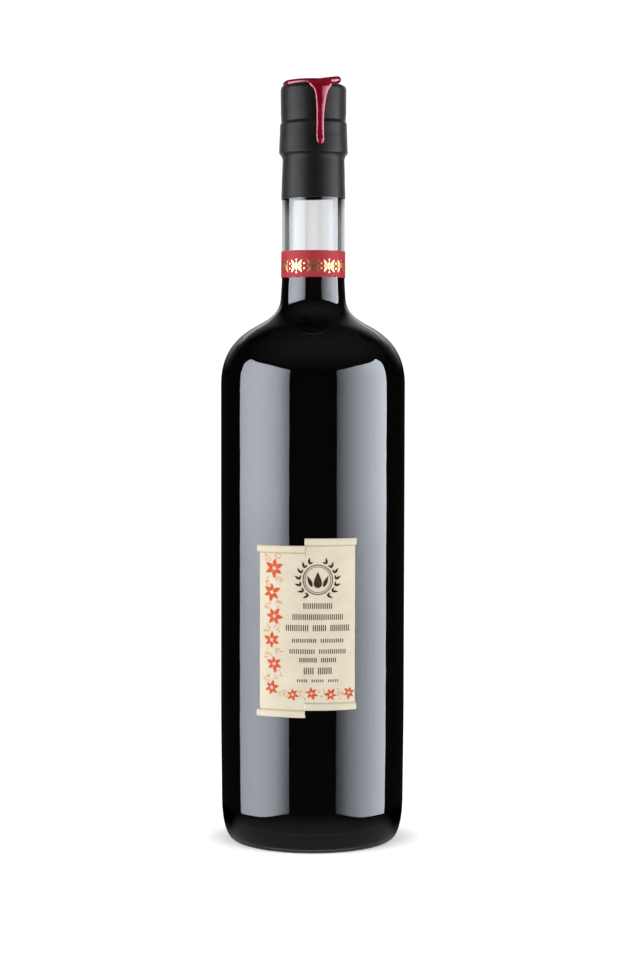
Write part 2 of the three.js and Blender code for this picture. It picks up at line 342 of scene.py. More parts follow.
def capsule_film():
    """Satin shrink film, a little dusty, so that its sides stay grey."""
    inputs = {
        "Specular IOR Level": 0.13,
        "Specular Tint": (1.0, 0.95, 0.92, 1),
        "Sheen Weight": 0.5,
        "Sheen Roughness": 0.3,
        "Sheen Tint": (1.0, 0.97, 0.95, 1),
    }
    made, tree, shader = principled("capsule_film", inputs)
    coarse = grain(tree, 180, 3)
    paint(tree, shader, coarse, (0.004, 0.0037, 0.0036), (0.006, 0.0056, 0.0055))
    roughen(tree, shader, coarse, 0.35, 0.42)
    fine = bump(tree, shader, grain(tree, 4000, 2), 0.00002, 0.4)
    bump(tree, shader, grain(tree, 300, 3), 0.0001, 0.4, fine)
    return made


def stopper_plastic():
    """Matt moulded plastic."""
    made, tree, shader = principled("stopper_plastic", {"Roughness": 0.5})
    paint(tree, shader, grain(tree, 500), (0.05, 0.047, 0.044), (0.08, 0.075, 0.07))
    bump(tree, shader, grain(tree, 2500), 0.00003, 0.5)
    return made


def red_wax():
    """Glossy dark red sealing wax."""
    inputs = {
        "Specular IOR Level": 0.9,
        "Specular Tint": (1.0, 0.45, 0.56, 1),
        "Subsurface Weight": 0.1,
        "Subsurface Radius": (0.002, 0.0003, 0.0003),
        "Subsurface Scale": 0.4,
    }
    made, tree, shader = principled("red_wax", inputs)
    soft = grain(tree, 220, 3)
    paint(tree, shader, soft, (0.125, 0.0007, 0.007), (0.18, 0.0009, 0.011))
    roughen(tree, shader, soft, 0.08, 0.13)
    bump(tree, shader, grain(tree, 350, 3), 0.0002, 0.3)
    return made


def fibres(tree):
    """Fine noise drawn out upwards, shared by paper and the ink on it."""
    return grain(tree, 2200, 5, (1, 1, 0.35))


def paper(name, low, high, roughness=0.7, relief=0.00004, gloss=0.2):
    """Paper with a faint mottle and fibre relief."""
    made, tree, shader = principled(name, {"Specular IOR Level": gloss})
    mottle = grain(tree, 120, 6)
    paint(tree, shader, mottle, low, high)
    roughen(tree, shader, mottle, roughness - 0.05, roughness + 0.1)
    bump(tree, shader, fibres(tree), relief, 0.6)
    return made


def ink(name, low, high):
    """Printing ink that lets a little of the paper's unevenness show."""
    made, tree, shader = principled(name, {"Specular IOR Level": 0.06, "Roughness": 0.6})
    paint(tree, shader, grain(tree, 1500, 5), low, high, 0.35, 0.6)
    bump(tree, shader, fibres(tree), 0.00003, 0.5)
    return made


def gold_foil():
    """Hot-stamped foil with slight wear."""
    made, tree, shader = principled("gold_foil", {"Metallic": 1.0})
    worn = grain(tree, 900, 4)
    paint(tree, shader, worn, (0.62, 0.36, 0.12), (0.85, 0.58, 0.24))
    roughen(tree, shader, worn, 0.22, 0.38)
    bump(tree, shader, grain(tree, 1800, 3), 0.00002, 0.4)
    return made


# Profiles

RISE = (-math.cos(INFLECTION_SLOPE), math.sin(INFLECTION_SLOPE))


def along(point, distance):
    """The point a distance up the slope of the shoulder from a point."""
    return (point[0] + RISE[0] * distance, point[1] + RISE[1] * distance)


def ring(inset):
    """The ring round the mouth, from its step out from the neck to the start of its rounding."""
    bottom = (SKIRT[0] - inset, SKIRT[1])
    brink = (RING_BRINK[0] - inset, RING_BRINK[1])
    middle = (RING_MIDDLE[0] - inset, RING_MIDDLE[1])
    top = (RING_TOP_RADIUS - inset, MOUTH_HEIGHT - RIM_ROUNDING)
    rise = (bottom[0] + 0.14, bottom[1] + 1.8)
    below_brink = (brink[0] - 0.08, brink[1] - 1.7)
    return [
        bend(bottom, rise, below_brink, brink, 12),
        line(brink, middle, 6),
        line(middle, top, 2),
    ]


def glass_outside():
    """Outer surface of the glass, from the middle of its underside to its rim."""
    foot = (FOOT_RADIUS, 0)
    heel = (HEEL_RADIUS, HEEL_TOP)
    full = (BODY_RADIUS, BODY_FULL_AT)
    shoulder = (BODY_RADIUS, SHOULDER_START)
    flare = math.tan(math.radians(NECK_FLARE))
    neck_foot_pull = (NECK_FOOT[0] + 7 * flare, NECK_FOOT[1] - 7)
    above_neck_foot = (NECK_FOOT[0] - 3 * flare, NECK_FOOT[1] + 3)
    shoulder_pull = (BODY_RADIUS, SHOULDER_START + 12.3)
    neck = (NECK_RADIUS, BAND_BOTTOM + 1)
    under_edge = (NECK_RADIUS, CAPSULE_EDGE[1] - 2)
    film = CAPSULE_WALL + SKIN_GAP
    ring_top = (RING_TOP_RADIUS - film, MOUTH_HEIGHT - RIM_ROUNDING)
    rim = (RIM_RADIUS, MOUTH_HEIGHT)
    return trace(
        bend((0, PUNT_HEIGHT), (12, PUNT_HEIGHT), (26, 2.4), (PUNT_RADIUS, 0), 24),
        line((PUNT_RADIUS, 0), foot),
        bend(foot, (FOOT_RADIUS + 0.6, 0), (HEEL_RADIUS, 1.7), heel, 40),
        bend(heel, (HEEL_RADIUS + 0.12, 34), (BODY_RADIUS, 49), full, 12),
        line(full, shoulder, 4),
        bend(shoulder, shoulder_pull, along(INFLECTION, -11.7), INFLECTION, 40),
        bend(INFLECTION, along(INFLECTION, 7.2), neck_foot_pull, NECK_FOOT, 40),
        bend(NECK_FOOT, above_neck_foot, (neck[0], neck[1] - 3), neck, 12),
        line(neck, under_edge, 2),
        line(under_edge, (SKIRT[0] - film, SKIRT[1]), 2),
        *ring(film),
        bend(ring_top, (ring_top[0] - 0.05, ring_top[1] + 1.1), (rim[0] + 1, rim[1]), rim, 10),
    )


def cavity(gap, top):
    """Wall of the space inside the glass up to a height, drawn in from the glass by a gap."""
    radius = BODY_RADIUS - WALL - gap
    bore = NECK_BORE_RADIUS - gap
    floor = PUNT_HEIGHT + BASE_THICKNESS + gap
    edge = (FLOOR_RADIUS, FLOOR_EDGE_HEIGHT + gap)
    heel = (radius, HEEL_TOP)
    shoulder = (radius, SHOULDER_START)
    turn = (INFLECTION[0] - RISE[1] * (WALL + gap), INFLECTION[1] + RISE[0] * (WALL + gap))
    neck = (bore, NECK_BORE_START)
    return trace(
        bend((0, floor), (10, floor), (20, edge[1]), edge, 16),
        bend(edge, (FLOOR_RADIUS + 7, edge[1]), (radius, edge[1] + 2), heel, 32),
        line(heel, shoulder, 4),
        bend(shoulder, (radius, SHOULDER_START + 11), along(turn, -10.6), turn, 32),
        bend(turn, along(turn, 7), (bore, NECK_BORE_START - 12), neck, 32),
        line(neck, (bore, top), 2),
    )


def capsule_profile(inset):
    """Skin of the capsule from its lower edge to the middle of its top, drawn in by an inset.

    The film steps out sharply under the ring of the mouth and turns in sharply above it.
    """

    def pull(point, across, up):
        return (point[0] + across, point[1] + up)

    edge = (CAPSULE_EDGE[0] - inset, CAPSULE_EDGE[1])
    waist = (CAPSULE_WAIST[0] - inset, CAPSULE_WAIST[1])
    skirt = (SKIRT[0] - inset, SKIRT[1] - 0.5)
    under = (STEP_UNDER[0] - inset, STEP_UNDER[1])
    brink = (RING_BRINK[0] - inset, RING_BRINK[1] - 0.5)
    middle = (RING_MIDDLE[0] - inset, RING_MIDDLE[1])
    ring_top = (RING_TOP_RADIUS - inset, RING_CORNER[1] - 1.1)
    corner = (RING_CORNER[0] - inset, RING_CORNER[1])
    crease = (CREASE[0] - inset, CREASE[1])
    head_foot = (HEAD_FOOT[0] - inset, HEAD_FOOT[1])
    top = CAPSULE_TOP - inset
    radius = CAPSULE_RADIUS - inset
    slack = CAPSULE_CORNER * 0.4
    side_end = (radius, top - CAPSULE_CORNER)
    top_start = (radius - CAPSULE_CORNER, top)
    return trace(
        line(edge, waist, 16),
        line(waist, skirt, 16),
        bend(skirt, pull(skirt, 0.05, 1.1), pull(under, -0.6, -0.55), under, 10),
        bend(under, pull(under, 0.25, 0.15), pull(brink, 0.02, -0.6), brink, 8),
        line(brink, middle, 14),
        line(middle, ring_top, 5),
        bend(ring_top, pull(ring_top, 0, 0.7), pull(corner, 0.2, -0.2), corner, 8),
        line(corner, crease, 4),
        bend(crease, pull(crease, 0.02, 0.6), pull(head_foot, -0.1, -1.6), head_foot, 14),
        line(head_foot, side_end, 14),
        bend(side_end, (radius, top - slack), (radius - slack, top), top_start, 14),
        line(top_start, (1, top), 12),
        line((1, top), (0, top)),
    )


# Glass, vinegar and stopper

glass_profile = [
    *glass_outside(),
    (BORE_RADIUS + MOUTH_CHAMFER, MOUTH_HEIGHT),
    (BORE_RADIUS, MOUTH_HEIGHT - MOUTH_CHAMFER),
    (BORE_RADIUS, BORE_FOOT),
    *cavity(0, NECK_BORE_TOP)[::-1],
]
dress(lathe("glass", glass_profile, clear_glass()), "clear_glass", "glass_bottle")


def vinegar_profile():
    """Fills the glass, with a meniscus that climbs the wall a little."""
    meniscus = 1.4
    wall = NECK_BORE_RADIUS + VINEGAR_INTO_GLASS
    surface = bend(
        (wall, VINEGAR_LEVEL),
        (wall - 0.3, VINEGAR_LEVEL - meniscus * 0.8),
        (wall - 1.4, VINEGAR_LEVEL - meniscus),
        (0, VINEGAR_LEVEL - meniscus),
        16,
    )
    return trace(cavity(-VINEGAR_INTO_GLASS, VINEGAR_LEVEL), surface)


dress(lathe("vinegar_fill", vinegar_profile(), dark_vinegar()), "dark_vinegar", "vinegar")

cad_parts["stopper"].data.materials.clear()
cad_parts["stopper"].data.materials.append(stopper_plastic())


# Capsule: shrink film with a tilted groove, soft waves and a few creases

EDGE_TILT = 0.25
BACK_RISE = 1.1
GROOVE_TILT = 0.35
GROOVE_REACH = 3
WAVE = 0.07
RIPPLE = 0.02
FOLD_REACH = 0.7
FOLD_SPREAD = 20
FOLD_SLOPE = 0.02

# Height, angle and depth of the middle of each crease
FOLDS = ((316.4, 44, 0.07), (318.4, 52, 0.05), (325.4, 38, 0.07), (328.3, 48, 0.04))


def fold(angle, height):
    """Depth of the creases in the film to the right of the wax."""
    depth = 0
    for middle, facing, deepest in FOLDS:
        along_height = (height - middle - FOLD_SLOPE * (angle - facing)) / FOLD_REACH
        along_angle = (angle - facing) / FOLD_SPREAD
        depth += deepest * math.exp(-(along_height**2) - along_angle**2)
    return depth


def crumple(angle, radius, height):
    """Moves the capsule's skin in and out where the film has not shrunk evenly."""
    turn = math.radians(angle)
    side = math.sin(turn)
    near_edge = 1 - smoothstep(CAPSULE_EDGE[1], SKIRT[1], height)
    near_groove = math.exp(-(((height - CREASE[1]) / GROOVE_REACH) ** 2))
    place = Vector((math.cos(turn) * 1.6, math.sin(turn) * 1.6, height * 0.16))
    on_side = smoothstep(0.5, 0.9, radius / CAPSULE_RADIUS)
    push = WAVE * noise.noise(place) * on_side
    push += RIPPLE * noise.noise(place * 3.1) * on_side
    push -= fold(angle, height) * on_side
    lift = side * (EDGE_TILT * near_edge + GROOVE_TILT * near_groove)
    lift += BACK_RISE * near_edge * smoothstep(0, 1, -math.cos(turn))
    return radius + push, height + lift


capsule_section = [*capsule_profile(0), *capsule_profile(CAPSULE_WALL)[::-1], CAPSULE_EDGE]
capsule = lathe("capsule_film", capsule_section, capsule_film(), form=crumple)
dress(capsule, "capsule_black", "capsule")


# Wax: puddle, drip and lobes are joined and melted into one smooth form


def loft(rings):
    """Joins rings of equal length into a closed form with flat ends."""
    count = len(rings[0])
    faces = []
    for j in range(len(rings) - 1):
        for k in range(count):
            after = (k + 1) % count
            low = j * count
            faces.append((low + k, low + after, low + count + after, low + count + k))
    faces.append(tuple(range(count))[::-1])
    faces.append(tuple(range((len(rings) - 1) * count, len(rings) * count)))
    return [point for ring_points in rings for point in ring_points], faces


def blob(centre, size):
    """An ellipsoid with its half widths along the three axes."""
    steps = 12
    rings = []
    for j in range(1, steps):
        lat = math.pi * j / steps
        points = []
        for k in range(2 * steps):
            lon = math.pi * k / steps
            round_x, round_y = math.sin(lat) * math.cos(lon), math.sin(lat) * math.sin(lon)
            local = Vector((size[0] * round_x, size[1] * round_y, size[2] * math.cos(lat)))
            points.append(tuple(local + Vector(centre)))
        rings.append(points)
    return loft(rings)


def puddle():
    """A flat drop with a rounded, wavy rim, a little to the left of the middle."""
    sides = 96
    rim_radius = 12.1
    rim_height = 0.95
    levels = 8
    middle = (-1.3, -0.5, CAPSULE_TOP + 0.72)
    rings = []
    for j in range(-levels, levels + 1):
        rise = math.radians(j * 90 / levels)
        points = []
        for k in range(sides):
            turn = 2 * math.pi * k / sides
            rim = rim_radius + 0.35 * math.cos(2 * turn) + 0.3 * math.sin(3 * turn + 0.4)
            radius = rim - rim_height * (1 - math.cos(rise))
            x, y = radius * math.cos(turn), radius * math.sin(turn)
            height = middle[2] + rim_height * math.sin(rise)
            points.append((middle[0] + x, middle[1] + y, height))
        rings.append(points)
    return loft(rings)


def drip():
    """The run of wax from the puddle over the edge and down the capsule, flat in front.

    Each station has a radius, a height, the turn of its outward direction from straight up, the
    angle of its middle round the axis, half its width and its thickness.
    """
    middle = (CAPSULE_RADIUS - CAPSULE_CORNER, CAPSULE_TOP - CAPSULE_CORNER)
    reach = CAPSULE_CORNER - 0.2
    side = CAPSULE_RADIUS - 0.2

    def on_corner(turn, half, thick):
        out = reach * math.sin(math.radians(turn))
        up = reach * math.cos(math.radians(turn))
        return (middle[0] + out, middle[1] + up, turn, 13.6, half, thick)

    stations = [
        (8, CAPSULE_TOP - 0.2, 0, 12, 7.0, 1.85),
        on_corner(0, 6.9, 1.9),
        on_corner(30, 6.4, 1.8),
        on_corner(60, 5.6, 1.6),
        on_corner(90, 4.7, 1.35),
        (side, 335.0, 90, 14.2, 3.9, 1.25),
        (side, 334.0, 90, 14.1, 3.3, 1.2),
        (side, 332.6, 90, 13.7, 2.8, 1.15),
        (side, 331.0, 90, 13.4, 2.5, 1.15),
        (side, 328.0, 90, 12.8, 2.15, 1.2),
        (side - 0.1, 325.0, 90, 12.3, 1.9, 1.3),
        (side - 0.1, 322.0, 90, 12.0, 1.8, 1.45),
        (side + 0.15, 318.0, 90, 11.7, 1.75, 1.35),
        (side + 0.35, 314.5, 90, 11.5, 1.8, 1.35),
        (side + 0.5, 312.4, 90, 11.8, 1.8, 1.4),
        (side + 0.5, 311.3, 90, 12.0, 1.45, 1.2),
        (side + 0.5, 310.6, 90, 12.1, 0.85, 0.8),
    ]
    rings = []
    for radius, height, turn, centre_angle, half, thick in stations:
        points = []
        for k in range(24):
            across, bulge = math.cos(math.pi * k / 12), math.sin(math.pi * k / 12)
            bulge = thick * bulge**0.62 if bulge > 0 else 0.35 * bulge
            angle = centre_angle + math.degrees(across * half / CAPSULE_RADIUS)
            out = radius + bulge * math.sin(math.radians(turn))
            points.append(around(angle, out, height + bulge * math.cos(math.radians(turn))))
        rings.append(points)
    return loft(rings)


def melted(name, parts, material, voxel, smoothing):
    """Joins closed parts into one skin and rounds where they meet."""
    obj = mesh_object(name, *joined(parts), material)
    remesh = obj.modifiers.new("join", "REMESH")
    remesh.mode = "VOXEL"
    remesh.voxel_size = voxel * MM
    smooth = obj.modifiers.new("round", "SMOOTH")
    smooth.factor = 0.5
    smooth.iterations = smoothing
    bpy.context.view_layer.update()
    shown = obj.evaluated_get(bpy.context.evaluated_depsgraph_get())
    baked = bpy.data.meshes.new_from_object(shown)
    obj.modifiers.clear()
    obj.data = baked
    baked.materials.clear()
    baked.materials.append(material)
    baked.shade_smooth()
    return obj


def lip():
    """The rounded edge of the puddle in front, thick at its left end."""
    start = -62
    reach = 92
    steps = 30
    half_width = 1.25
    top = CAPSULE_TOP + 1.66
    parts = []
    for k in range(steps + 1):
        angle = start + reach * k / steps
        thick = 1.12 + 0.3 * (1 - smoothstep(-60, -20, angle))
        out = 12.75 + 0.25 * (1 - smoothstep(-60, -40, angle))
        parts.append(blob(around(angle, out, top - thick), (half_width, half_width, thick)))
    return parts


def curl():
    """A fatter finger that rises along the edge to the right."""
    start = 8
    parts = []
    for angle in range(start, 58, 3):
        place = around(angle, 13.1 - 0.006 * angle, 338.3 + 0.028 * (angle - start))
        radius = 1.15 + 0.011 * (angle - start)
        parts.append(blob(place, (radius, radius, radius)))
    return parts


wax = melted("wax_run", [puddle(), drip(), *lip(), *curl()], red_wax(), 0.2, 10)
dress(wax, "red_wax", "wax_seal")


# Printed shapes, cut from flat outlines and bent round a cylinder


def aside(point, direction, distance):
    """The point at a distance from another, in a direction in degrees."""
    turn = math.radians(direction)
    return (point[0] + distance * math.cos(turn), point[1] + distance * math.sin(turn))


def disc(centre, radius):
    """A dot as an outline."""
    steps = 10
    return [aside(centre, 360 * k / steps, radius) for k in range(steps)]


def bar(left, right, middle, height, step=0.8):
    """A flat bar as an outline with points close enough to bend."""
    count = max(1, round((right - left) / step))
    low = [(left + (right - left) * k / count, middle - height / 2) for k in range(count + 1)]
    high = [(x, middle + height / 2) for x, _ in reversed(low)]
    return low + high


def leaf(base, direction, length, width):
    """An ovate leaf with a pointed tip."""
    turn = math.radians(direction)
    over, up = math.cos(turn), math.sin(turn)
    steps = 9
    shape = []
    for k in range(steps + 1):
        t = k / steps
        half = width / 2 * math.sin(math.pi * t**0.8) * (1 - 0.25 * t)
        shape.append((t * length, half))
    outline = shape + [(x, -y) for x, y in reversed(shape[1:-1])]
    return [
        (base[0] + x * over - y * up, base[1] + x * up + y * over) for x, y in outline
    ]


def strip(points, width):
    """A thin line along points, as a row of short pieces."""
    pieces = []
    for (x0, y0), (x1, y1) in zip(points, points[1:]):
        half = width / 2 / math.hypot(x1 - x0, y1 - y0)
        over, up = (y0 - y1) * half, (x1 - x0) * half
        pieces.append(
            [(x0 - over, y0 - up), (x1 - over, y1 - up), (x1 + over, y1 + up), (x0 + over, y0 + up)]
        )
    return pieces


def print_on(name, outlines, radius, material):
    """Flat outlines in (arc length, height) millimetres, as one thin printed mesh."""
    vertices = []
    faces = []
    for outline in outlines:
        start = len(vertices)
        for x, y in outline:
            vertices.append(around(math.degrees(x / radius), radius, y))
        faces.append(tuple(range(start, start + len(outline))))
    mesh = bpy.data.meshes.new(name)
    mesh.from_pydata([Vector(v) * MM for v in vertices], [], faces)
    work = bmesh.new()
    work.from_mesh(mesh)
    bmesh.ops.triangulate(work, faces=work.faces)
    for face in work.faces:
        middle = face.calc_center_median()
        if face.normal.dot(Vector((middle.x, middle.y, 0))) < 0:
            face.normal_flip()
    work.to_mesh(mesh)
    work.free()
    return placed(name, mesh, material)


# Neck band

BAND_RADIUS = NECK_RADIUS + SKIN_GAP + PAPER
BAND_BACK = NECK_RADIUS + PAPER_BACK_GAP
BAND_CORNER = 0.06
BAND_WAVE = 0.04


def band_section():
    """Cross-section of the band, with its two outer corners taken off."""
    top = BAND_BOTTOM + BAND_HEIGHT
    return [
        (BAND_BACK, BAND_BOTTOM),
        (BAND_RADIUS - BAND_CORNER, BAND_BOTTOM),
        (BAND_RADIUS, BAND_BOTTOM + BAND_CORNER),
        *line((BAND_RADIUS, BAND_BOTTOM + 0.5), (BAND_RADIUS, top - 0.5), 12),
        (BAND_RADIUS, top - BAND_CORNER),
        (BAND_RADIUS - BAND_CORNER, top),
        (BAND_BACK, top),
        (BAND_BACK, BAND_BOTTOM),
    ]


def band_waves(angle, radius, height):
    """Moves the band's face in and out a little."""
    turn = math.radians(angle)
    place = Vector((math.sin(turn) * 3, math.cos(turn) * 3, height * 0.2))
    on_face = radius > BAND_BACK + 0.1
    return radius + (BAND_WAVE * noise.noise(place) if on_face else 0), height


red_paper = paper("red_band_paper", (0.29, 0.022, 0.03), (0.33, 0.027, 0.036), 0.45, 0.00002, 0.1)
band = lathe("band", band_section(), red_paper, form=band_waves)
band.visible_glossy = False
dress(band, "band_paper", "neck_band")


def band_ornament():
    """Foil: a dense row of lozenges and leaves, all the way round."""
    outlines = []
    repeats = 12
    pitch = 2 * math.pi * BAND_RADIUS / repeats
    middle = BAND_BOTTOM + 4.9
    for k in range(repeats):
        x = k * pitch
        outlines.append([(x - 0.9, middle), (x, middle - 2), (x + 0.9, middle), (x, middle + 2)])
        for side in (-1, 1):
            for up in (-1, 1):
                root = (x + side * 1.1, middle + up * 0.25)
                outlines.append(leaf(root, 90 - side * 90 + side * up * 58, 3.0, 1.15))
            outlines.append(disc((x + side * 2.2, middle), 0.42))
        for up in (-1, 1):
            outlines.append(disc((x, middle + up * 2.75), 0.36))
            outlines.append(disc((x + pitch / 2, middle + up * 1.1), 0.4))
    return outlines


foil = print_on("band_foil", band_ornament(), BAND_RADIUS + 0.05, gold_foil())
foil.visible_glossy = False
dress(foil, "band_paper")


# Front label

LABEL_RADIUS = BODY_RADIUS + SKIN_GAP + PAPER
LABEL_BACK = BODY_RADIUS + PAPER_BACK_GAP
ROLL_SQUARENESS = 2.4
ROLL_END = 0.5
ROLL_WAVE = 0.075


def label_half(left, right, overhang_left, overhang_right, lift, seed):
    """One half of the scroll as a closed sheet: rolled bars above and below, ragged edges."""
    columns = 90
    body_rows = 60
    roll_rows = 14
    roll = [ROLL_HEIGHT * k / roll_rows for k in range(roll_rows + 1)]
    body_low = ROLL_HEIGHT + 0.15
    body_high = LABEL_HEIGHT - body_low
    body = [body_low + (body_high - body_low) * k / body_rows for k in range(body_rows + 1)]
    levels = [*roll, *body, *(LABEL_HEIGHT - ROLL_HEIGHT + level for level in roll)]
    vertices = []
    faces = []
    rows = len(levels)

    def ragged(level, side):
        coarse = noise.noise(Vector((seed + side * 5, level * 0.9, 0)))
        fine = noise.noise(Vector((seed + side * 9, level * 2.7, 3)))
        return 0.22 * coarse + 0.1 * fine

    for level in levels:
        depth = min(level, LABEL_HEIGHT - level)
        on_roll = depth <= ROLL_HEIGHT + 1e-6
        off_middle = abs(2 * depth / ROLL_HEIGHT - 1) ** ROLL_SQUARENESS
        relief = ROLL_RELIEF * max(0, 1 - off_middle) ** (1 / ROLL_SQUARENESS)
        first = math.radians(left) * LABEL_RADIUS + ragged(level, 0)
        last = math.radians(right) * LABEL_RADIUS + ragged(level, 1)
        if not on_roll:
            first += overhang_left
            last -= overhang_right
        for k in range(columns + 1):
            t = k / columns
            x = first + (last - first) * t
            end = min(t, 1 - t) * (last - first)
            rounded = relief * math.sqrt(min(1, end / ROLL_END)) if on_roll else 0
            wave = ROLL_WAVE * noise.noise(Vector((x * 0.12, seed, 1))) if on_roll else 0
            outwards = 1 if level > LABEL_HEIGHT / 2 else -1
            height = LABEL_BOTTOM + lift + level + wave * outwards
            angle = math.degrees(x / LABEL_RADIUS)
            vertices.append(around(angle, LABEL_RADIUS + rounded, height))
            vertices.append(around(angle, LABEL_BACK, height))
    width = columns + 1

    def face(*corners):
        faces.append(tuple((row * width + column) * 2 + skin for row, column, skin in corners))

    for row in range(rows - 1):
        for k in range(columns):
            for skin in (0, 1):
                face((row, k, skin), (row, k + 1, skin), (row + 1, k + 1, skin), (row + 1, k, skin))
        for k in (0, columns):
            face((row, k, 0), (row + 1, k, 0), (row + 1, k, 1), (row, k, 1))
    for row in (0, rows - 1):
        for k in range(columns):
            face((row, k, 0), (row, k + 1, 0), (row, k + 1, 1), (row, k, 1))
    return vertices, faces


halves = [
    label_half(LABEL_LEFT, LABEL_STEP + 0.3, ROLL_OVERHANG_LEFT, 0, 0, 1),
    label_half(LABEL_STEP, LABEL_RIGHT, 0, ROLL_OVERHANG_RIGHT, LABEL_RISE, 2),
]
parchment = paper("label_parchment", (0.57, 0.505, 0.385), (0.63, 0.575, 0.45))
label = mesh_object("label_sheet", *joined(halves), parchment, 50)
dress(label, "label_paper", "front_label")

PRINT_RADIUS = LABEL_RADIUS + 0.07
SHADE_RADIUS = LABEL_RADIUS + 0.05
BORDER_COLUMN = -17.7
BORDER_ROW = 70.9
BORDER_PITCH = 10.4
FOOT_PITCH = 8.3
ROSETTE_RADIUS = 4.2
FOOT_ROSETTE_RADIUS = 2.9
PRINT_MIDDLE = 2.4
MEDALLION_HEIGHT = 120.6
MEDALLION_RADIUS = 6.6


def rosette(x, y, radius):
    """Six petals round a small centre, each a little different."""
    turn = rng.uniform(0, 60)
    outlines = []
    for k in range(6):
        direction = turn + 60 * k + rng.uniform(-6, 6)
        length = radius * rng.uniform(0.85, 1.08)
        base = aside((x, y), direction, 0.14 * radius)
        outlines.append(leaf(base, direction, length * 0.88, length * 0.5))
    return outlines


def filling(x, y, reach):
    """Small leaves and dots strewn between two rosettes."""
    outlines = []
    for k in range(9):
        direction = 40 * k + rng.uniform(-20, 20)
        spot = aside((x, y), direction, reach * rng.uniform(0.35, 1))
        if k % 2:
            outlines.append(disc(spot, rng.uniform(0.2, 0.36)))
        else:
            outlines.append(leaf(spot, rng.uniform(0, 360), rng.uniform(1.0, 1.7), 0.55))
    return outlines


def border():
    """Rosettes up the left side and along the foot, with strewn fillings between them."""
    flowers = []
    fillings = []
    for k in range(6):
        x = BORDER_COLUMN + (0.7 if k % 2 else -0.5)
        y = BORDER_ROW + 2.4 + BORDER_PITCH * k
        flowers += rosette(x, y, ROSETTE_RADIUS * (0.86 + 0.035 * k))
        fillings += filling(BORDER_COLUMN - 2.6, y + BORDER_PITCH * 0.42, 1.7)
        fillings += filling(BORDER_COLUMN + 2.4, y + BORDER_PITCH * 0.55, 1.8)
    for k in range(4):
        x = BORDER_COLUMN + 9.2 + FOOT_PITCH * k
        flowers += rosette(x, BORDER_ROW + (0.3 if k % 2 else -0.3), FOOT_ROSETTE_RADIUS)
        fillings += filling(x - 4.1, BORDER_ROW, 2.2)
    return flowers, fillings


def hatch(y, half_width, height, groups):
    """A row of short upright dashes in a few groups of uneven width."""
    gap = 1.5
    pitch = 0.92
    half_dash = 0.2
    weights = [rng.uniform(0.7, 1.5) for _ in range(groups)]
    free = 2 * half_width - gap * (groups - 1)
    dashes = []
    x = PRINT_MIDDLE - half_width
    for weight in weights:
        width = free * weight / sum(weights)
        count = max(2, round(width / pitch))
        for k in range(count):
            middle = x + width * (k + 0.5) / count
            dashes.append(bar(middle - half_dash, middle + half_dash, y, height))
        x += width + gap
    return dashes


def medallion(x, y, radius):
    """A plain round frame with a drop between two leaves, and a sprig on each side of it."""
    outlines = []
    steps = 48
    for inner, outer in ((radius - 0.4, radius), (radius - 1.15, radius - 0.9)):
        for k in range(steps):
            ends = (360 * k / steps, 360 * (k + 1) / steps)
            outside = [aside((x, y), end, outer) for end in ends]
            inside = [aside((x, y), end, inner) for end in reversed(ends)]
            outlines.append(outside + inside)
    drop = []
    drop_steps = 32
    for k in range(1, drop_steps):
        turn = 2 * math.pi * k / drop_steps
        across = 2.6 * math.sin(turn) * math.sin(turn / 2) ** 1.6
        drop.append((x + across, y + 3.6 * math.cos(turn)))
    outlines.append(drop)
    for side in (-1, 1):
        outlines.append(leaf((x + side * 2.4, y - 3.2), 90 - side * 24, 5.4, 1.9))
        for k in range(7):
            outwards = 90 + side * (20 * k - 150)
            stem = aside((x, y), outwards, radius + 1.3)
            outlines.append(leaf(stem, outwards + side * 38, 2.9, 1.15))
            outlines.append(leaf(stem, outwards + side * 100, 2.2, 0.95))
    return outlines


def shade_lines():
    """Lines where the rolls meet the sheet, and the start of the tear at the step."""
    below_roll = 0.4
    left = math.radians(LABEL_LEFT) * PRINT_RADIUS + ROLL_OVERHANG_LEFT
    step = math.radians(LABEL_STEP) * PRINT_RADIUS
    right = math.radians(LABEL_RIGHT) * PRINT_RADIUS - ROLL_OVERHANG_RIGHT
    pieces = []
    for start, end, lift in ((left, step, 0), (step, right, LABEL_RISE)):
        low = LABEL_BOTTOM + lift + ROLL_HEIGHT + below_roll
        high = LABEL_BOTTOM + lift + LABEL_HEIGHT - ROLL_HEIGHT - below_roll
        for height in (low, high):
            pieces += strip(line((start + 0.2, height), (end - 0.1, height), 30), 0.42)
    top = LABEL_BOTTOM + LABEL_RISE + LABEL_HEIGHT - ROLL_HEIGHT
    tear = [(0.3, -0.2), (0.45, -1.4), (0.2, -2.6), (0.5, -3.7), (0.3, -4.8)]
    pieces += strip([(step + x, top + y) for x, y in tear], 0.36)
    return pieces


def label_print(name, outlines, colour, radius=PRINT_RADIUS):
    """Prints outlines on the label in one ink."""
    dress(print_on(name, outlines, radius, colour), "label_paper")


flowers, fillings = border()
tan_ink = ink("tan_ink", (0.4, 0.33, 0.215), (0.46, 0.385, 0.26))
label_print("label_shades", shade_lines(), tan_ink, SHADE_RADIUS)
coral_ink = ink("coral_ink", (0.48, 0.05, 0.02), (0.6, 0.11, 0.04))
label_print("label_rosettes", flowers, coral_ink)
orange_ink = ink("orange_ink", (0.6, 0.22, 0.06), (0.66, 0.36, 0.12))
label_print("label_fillings", fillings, orange_ink)

